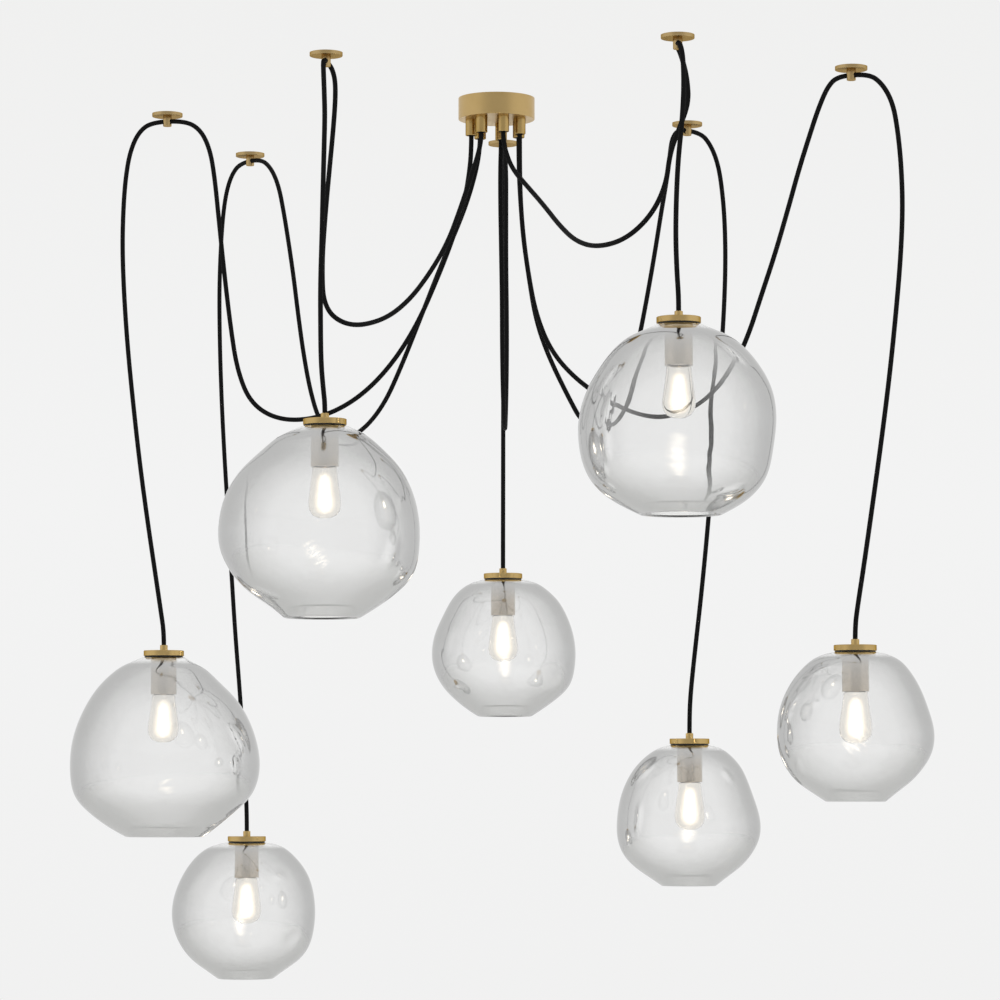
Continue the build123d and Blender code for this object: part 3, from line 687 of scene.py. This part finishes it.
def swell(grid, seed, reach, lengths):
    """Soft swelling of the gather: a few waves across the glass, each of its own direction."""
    random = np.random.default_rng(seed)
    total = np.zeros(grid.shape[:2])
    waves = 7
    for _ in range(waves):
        heading = random.normal(size=3)
        heading /= np.linalg.norm(heading)
        length = random.uniform(*lengths)
        total += np.sin(grid @ heading * math.tau / length + random.uniform(0, math.tau))
    return total * reach / waves


def outward_normals(grid):
    """Normals of a grid of rings, each ring closed on itself."""
    down = np.gradient(grid, axis=0)
    around = (np.roll(grid, -1, axis=1) - np.roll(grid, 1, axis=1)) / 2
    normals = np.cross(down, around)
    return normals / np.linalg.norm(normals, axis=2, keepdims=True)


def blow_globe(lamp, crown, stations, spokes):
    """Rings from the crown's hole down the outside, round the cut rim and up the inside."""
    shape = globes[lamp]
    outline = [(0.0, crown_flat, crown_flat)] + shape["outline"]
    line = smooth_through(outline, stations)
    depth, left, right = line.T
    even = np.linspace(0, math.tau, spokes, endpoint=False)
    crowding = 0.22
    phi = even - crowding * np.sin(2 * even)
    radius = (left + right)[:, None] / 2
    centre = (right - left)[:, None] / 2
    outer = np.stack(
        [
            centre + radius * np.cos(phi),
            radius * np.sin(phi),
            np.broadcast_to(-depth[:, None], (stations, spokes)),
        ],
        axis=2,
    )
    normals = outward_normals(outer)
    height = depth[-1]
    from_crown = np.clip((depth - clamped_depth) / easing_depth, 0, 1)
    free = from_crown * np.clip((height - depth) / easing_depth, 0, 1)
    free = (free * free * (3 - 2 * free))[:, None]
    quiet = 0.35 + 0.65 * np.abs(np.sin(phi))
    push = swell(outer, 100 + lamp, belly_swell, belly_waves) * free * quiet - drawn_in * free
    run = np.concatenate([[0], np.cumsum(np.hypot(np.diff(depth), np.diff(radius[:, 0])))])
    for across, mark_depth, long, short, tilt, rise in shape["marks"]:
        at = np.argmin(np.abs(depth - mark_depth))
        own = min(abs((across - centre[at, 0]) / radius[at, 0]), 0.97)
        face = -math.acos(math.copysign(own, across))
        aside = radius[at, 0] * (phi - face)
        aside = (aside + math.pi * radius[at, 0]) % (math.tau * radius[at, 0])
        aside = (aside - math.pi * radius[at, 0])[None, :]
        below = (run - run[at])[:, None]
        turn = math.radians(tilt)
        u = (aside * math.cos(turn) - below * math.sin(turn)) / long
        v = (aside * math.sin(turn) + below * math.cos(turn)) / short
        push = push + rise * np.exp(-((u * u + v * v) ** 1.6)) * free
    outer = outer + normals * push[:, :, None]
    outer[-1, :, 2] = -height
    body = outward_normals(outer)
    thick = wall + swell(outer, 200 + lamp, wall_swell, wall_waves) * free
    for across, ripple_depth, spread, tilt, pitch, rise in shape["ripples"]:
        at = np.argmin(np.abs(depth - ripple_depth))
        face = math.acos((across - centre[at, 0]) / radius[at, 0])
        aside = (radius[at, 0] * (phi - face))[None, :]
        below = (run - run[at])[:, None]
        turn = math.radians(tilt)
        along = aside * math.cos(turn) + below * math.sin(turn)
        window = np.exp(-(aside * aside + below * below) / spread**2)
        thick = thick + rise * np.sin(along * math.tau / pitch) * window * free
    inner = outer - body * thick[:, :, None]
    rim_centre = np.array([centre[-1, 0], 0, 0])
    inner[-1] = rim_centre + (outer[-1] - rim_centre) * (1 - wall / radius[-1, 0])
    lip = [outer[-1] * (1 - k) + inner[-1] * k for k in (0.15, 0.5, 0.85)]
    outer[-1, :, 2] += lip_rounding
    inner[-1, :, 2] += lip_rounding
    lip[0][:, 2] += lip_shoulder
    lip[2][:, 2] += lip_shoulder
    top = [
        np.column_stack([r * np.cos(phi), r * np.sin(phi), 0 * phi])
        for r in (crown_hole, crown_middle)
    ]
    under = [ring + np.array([0, 0, -wall]) for ring in reversed(top)]
    rings = top + list(outer) + lip + list(inner[::-1]) + under
    rings = np.array(rings)
    outside = len(top) + stations + 1
    return rings * 0.001 + np.array(crown), outside


def ring_mesh(name, rings, closed):
    """Quads between neighbouring rings, smooth all over."""
    count, spokes = rings.shape[:2]
    mesh = bpy.data.meshes.new(name)
    faces = []
    for k in range(count if closed else count - 1):
        low = k * spokes
        high = (k + 1) % count * spokes
        for j in range(spokes):
            n = (j + 1) % spokes
            faces.append((low + j, high + j, high + n, low + n))
    mesh.from_pydata(rings.reshape(-1, 3).tolist(), [], faces)
    mesh.shade_smooth()
    return mesh


def glass(name, lustre):
    """Clear glass, faintly streaked. Its outside has a grey lustre at a slant, save by the cap."""
    made = bpy.data.materials.new(name)
    made.use_nodes = True
    tree = made.node_tree
    clear = tree.nodes["Principled BSDF"]
    out = tree.nodes["Material Output"]
    place = node(tree, "ShaderNodeTexCoord").outputs["Object"]
    waves = node(
        tree,
        "ShaderNodeTexNoise",
        {"Vector": place, "Scale": 16.0, "Detail": 2.0, "Distortion": 0.6},
    ).outputs["Fac"]
    relief = node(tree, "ShaderNodeBump", {"Height": waves, "Distance": 0.0003, "Strength": 0.2})
    streaks = node(tree, "ShaderNodeTexNoise", {"Vector": place, "Scale": 7.0, "Detail": 3.0})
    tint = node(tree, "ShaderNodeValToRGB", {"Fac": streaks.outputs["Fac"]})
    tint.color_ramp.elements[0].color = (0.968, 0.968, 0.966, 1)
    tint.color_ramp.elements[1].color = (0.99, 0.99, 0.988, 1)
    tree.links.new(tint.outputs[0], clear.inputs["Base Color"])
    if lustre:
        tree.links.new(relief.outputs["Normal"], clear.inputs["Normal"])
    clear.inputs["Transmission Weight"].default_value = 1.0
    clear.inputs["Roughness"].default_value = 0.0
    clear.inputs["IOR"].default_value = 1.45
    shown = clear.outputs[0]
    path = node(tree, "ShaderNodeLightPath").outputs
    if lustre:
        sheen = node(
            tree,
            "ShaderNodeBsdfPrincipled",
            {
                "Base Color": (0.56, 0.56, 0.557, 1),
                "Metallic": 1.0,
                "Roughness": 0.09,
                "Specular Tint": (0.85, 0.85, 0.85, 1),
                "Normal": relief.outputs["Normal"],
            },
        )
        slant = node(
            tree, "ShaderNodeLayerWeight", {"Blend": 0.5, "Normal": relief.outputs["Normal"]}
        ).outputs["Facing"]
        amount = node(tree, "ShaderNodeValToRGB", {"Fac": slant})
        ramp = amount.color_ramp
        ramp.interpolation = "B_SPLINE"
        ramp.elements[0].position = 0.0
        ramp.elements[0].color = (0.02, 0.02, 0.02, 1)
        ramp.elements[1].position = 0.62
        ramp.elements[1].color = (1, 1, 1, 1)
        for place_on, level in ((0.08, 0.12), (0.2, 0.31), (0.4, 0.78), (0.5, 0.93)):
            ramp.elements.new(place_on).color = (level, level, level, 1)
        behind = node(tree, "ShaderNodeNewGeometry").outputs["Backfacing"]
        front = math_node(tree, "SUBTRACT", 1.0, behind)
        share = math_node(tree, "MULTIPLY", amount.outputs[0], front)
        within = node(tree, "ShaderNodeTexCoord").outputs["Generated"]
        share_of_height = node(tree, "ShaderNodeSeparateXYZ", {0: within}).outputs["Z"]
        below_cap = node(
            tree,
            "ShaderNodeMapRange",
            {"Value": share_of_height, "From Min": 0.98, "From Max": 0.955},
        )
        share = math_node(tree, "MULTIPLY", share, below_cap.outputs[0])
        shown = node(
            tree, "ShaderNodeMixShader", {0: share, 1: shown, 2: sheen.outputs[0]}
        ).outputs[0]
    through = node(tree, "ShaderNodeBsdfTransparent", {"Color": (0.93, 0.94, 0.94, 1)})
    both = node(
        tree, "ShaderNodeMixShader", {0: path["Is Shadow Ray"], 1: shown, 2: through.outputs[0]}
    )
    tree.links.new(both.outputs[0], out.inputs["Surface"])
    return made


large_globes = (1, 2, 3)
globe_outside = glass("globe_glass_outside", True)
globe_inside = glass("globe_glass_inside", False)
for lamp in lamp_numbers:
    gasket_low, gasket_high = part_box(f"cap_gasket_{lamp}")
    middle = (gasket_low + gasket_high) / 2
    stations, spokes = (132, 256) if lamp in large_globes else (108, 208)
    crown = (middle.x, middle.y, gasket_low.z)
    rings, outside = blow_globe(lamp, crown, stations, spokes)
    mesh = ring_mesh(f"blown_globe_{lamp}", rings, True)
    mesh.materials.append(globe_outside)
    mesh.materials.append(globe_inside)
    per_ring = rings.shape[1]
    slots = np.repeat((np.arange(len(rings)) >= outside).astype(np.int32), per_ring)
    mesh.polygons.foreach_set("material_index", slots)
    globe = bpy.data.objects.new(f"blown_globe_{lamp}", mesh)
    scene.collection.objects.link(globe)
    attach(globe, f"pendant_{lamp}")
    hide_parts(f"glass_shade_{lamp}")


# ---- Bulbs ----------------------------------------------------------------------------------
# Screw-base lamp with a long clear envelope. Its light column glows warm white, and the nickelled
# screw shell turns down out of the lampholder with it.
envelope_wall = 1.0
thread_turns = 14
thread_pitch = 1.5
thread_top = 22.0
thread_crest = 12.9
thread_root = 12.1
glow_strength = 2.8
mirrored_strength = 14.0

# Outlines: (radius, height above the lampholder's mouth), in millimetres.
envelope_outline = [(13.0, 1.0), (13.0, -0.8), (15.4, -1.0), (15.9, -4), (17.0, -14), (18.9, -27),
                    (20.8, -40), (21.3, -48), (19.8, -56), (15.6, -61.6), (8.4, -65.2), (0.2, -66)]
base_outline = [(4.0, 26.0), (4.2, 24.6), (9.5, 24.2), (11.6, 22.6)]
glow_outline = [(0.3, -5.5), (5.0, -6.6), (10.0, -11), (12.2, -19), (13.8, -32), (15.4, -44),
                (14.6, -52), (11.4, -58.6), (5.6, -61.6), (0.3, -62.4)]
envelope_outline += [
    (max(r - envelope_wall, 0.2), min(z + 0.4, z * 0.985)) for r, z in envelope_outline[::-1]
]


def lathe(name, outline, foot, spokes=64):
    """Turn an outline about the lamp's axis, above and below its foot."""
    phi = np.linspace(0, math.tau, spokes, endpoint=False)
    rings = np.array(
        [np.column_stack([r * np.cos(phi), r * np.sin(phi), z + 0 * phi]) for r, z in outline]
    )
    return ring_mesh(name, rings * 0.001 + np.array(foot), False)


def envelope_glass():
    """Thin clear glass with a faint warm tint."""
    made = bpy.data.materials.new("bulb_envelope_glass")
    made.use_nodes = True
    tree = made.node_tree
    clear = tree.nodes["Principled BSDF"]
    out = tree.nodes["Material Output"]
    place = node(tree, "ShaderNodeTexCoord").outputs["Object"]
    haze = node(tree, "ShaderNodeTexNoise", {"Vector": place, "Scale": 60.0, "Detail": 2.0})
    tint = node(tree, "ShaderNodeValToRGB", {"Fac": haze.outputs["Fac"]})
    tint.color_ramp.elements[0].color = (0.975, 0.955, 0.92, 1)
    tint.color_ramp.elements[1].color = (0.99, 0.975, 0.95, 1)
    tree.links.new(tint.outputs[0], clear.inputs["Base Color"])
    clear.inputs["Transmission Weight"].default_value = 1.0
    clear.inputs["Roughness"].default_value = 0.02
    clear.inputs["IOR"].default_value = 1.3
    path = node(tree, "ShaderNodeLightPath").outputs
    through = node(tree, "ShaderNodeBsdfTransparent", {"Color": (0.97, 0.96, 0.94, 1)})
    both = node(
        tree,
        "ShaderNodeMixShader",
        {0: path["Is Shadow Ray"], 1: clear.outputs[0], 2: through.outputs[0]},
    )
    tree.links.new(both.outputs[0], out.inputs["Surface"])
    return made


def light_column():
    """Warm light, white along the middle, that thins out to cream and nothing at its sides.

    Reflections show it at its mirrored strength, so that small highlights stand in the glass.
    """
    made = bpy.data.materials.new("bulb_light_column")
    made.use_nodes = True
    tree = made.node_tree
    tree.nodes.remove(tree.nodes["Principled BSDF"])
    out = tree.nodes["Material Output"]
    slant = node(tree, "ShaderNodeLayerWeight", {"Blend": 0.5}).outputs["Facing"]
    solid = node(tree, "ShaderNodeValToRGB", {"Fac": slant})
    ramp = solid.color_ramp
    ramp.interpolation = "EASE"
    ramp.elements[0].color = (0.42, 0.42, 0.42, 1)
    ramp.elements[1].position = 0.86
    ramp.elements[1].color = (0, 0, 0, 1)
    for place_on, level in ((0.08, 0.27), (0.16, 0.15), (0.32, 0.06), (0.6, 0.014)):
        ramp.elements.new(place_on).color = (level, level, level, 1)
    place = node(tree, "ShaderNodeTexCoord").outputs["Object"]
    strands = node(tree, "ShaderNodeTexNoise", {"Vector": place, "Scale": 90.0, "Detail": 1.0})
    warmth = math_node(tree, "MULTIPLY_ADD", strands.outputs["Fac"], 0.3)
    tree.links.new(slant, warmth.node.inputs[2])
    colour = node(tree, "ShaderNodeValToRGB", {"Fac": warmth})
    colour.color_ramp.elements[0].position = 0.15
    colour.color_ramp.elements[0].color = (1.0, 0.93, 0.82, 1)
    colour.color_ramp.elements[1].position = 0.6
    colour.color_ramp.elements[1].color = (1.0, 0.84, 0.62, 1)
    mirrored = node(tree, "ShaderNodeLightPath").outputs["Glossy Depth"]
    mirrored = math_node(tree, "MINIMUM", mirrored, 1.0)
    strength = node(
        tree,
        "ShaderNodeMapRange",
        {"Value": mirrored, "To Min": glow_strength, "To Max": mirrored_strength},
    ).outputs[0]
    light = node(tree, "ShaderNodeEmission", {"Color": colour.outputs[0], "Strength": strength})
    clear = node(tree, "ShaderNodeBsdfTransparent")
    both = node(
        tree, "ShaderNodeMixShader", {0: solid.outputs[0], 1: clear.outputs[0], 2: light.outputs[0]}
    )
    tree.links.new(both.outputs[0], out.inputs["Surface"])
    return made


for turn in range(thread_turns):
    crest_level = thread_top - turn * thread_pitch
    base_outline += [(thread_crest, crest_level), (thread_root, crest_level - thread_pitch / 2)]
base_outline += [(12.6, 1.0), (0.2, 1.0)]
clear_bulb = envelope_glass()
glow = light_column()
nickel = metal("bulb_screw_nickel", (0.60, 0.58, 0.54), (0.42, 0.40, 0.36), 0.22, lines=500.0)
for lamp in lamp_numbers:
    holder_low, holder_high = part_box(f"lampholder_{lamp}")
    mouth = ((holder_low.x + holder_high.x) / 2, (holder_low.y + holder_high.y) / 2, holder_low.z)
    envelope = bpy.data.objects.new(
        f"bulb_envelope_{lamp}", lathe(f"bulb_envelope_{lamp}", envelope_outline, mouth)
    )
    envelope.data.materials.append(clear_bulb)
    column = bpy.data.objects.new(
        f"bulb_glow_{lamp}", lathe(f"bulb_glow_{lamp}", glow_outline, mouth, 48)
    )
    column.data.materials.append(glow)
    shell = bpy.data.objects.new(f"bulb_base_{lamp}", lathe(f"bulb_base_{lamp}", base_outline, mouth))
    shell.data.materials.append(nickel)
    for piece in (envelope, column, shell):
        scene.collection.objects.link(piece)
        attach(piece, f"lamp_{lamp}")
    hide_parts(f"bulb_{lamp}")
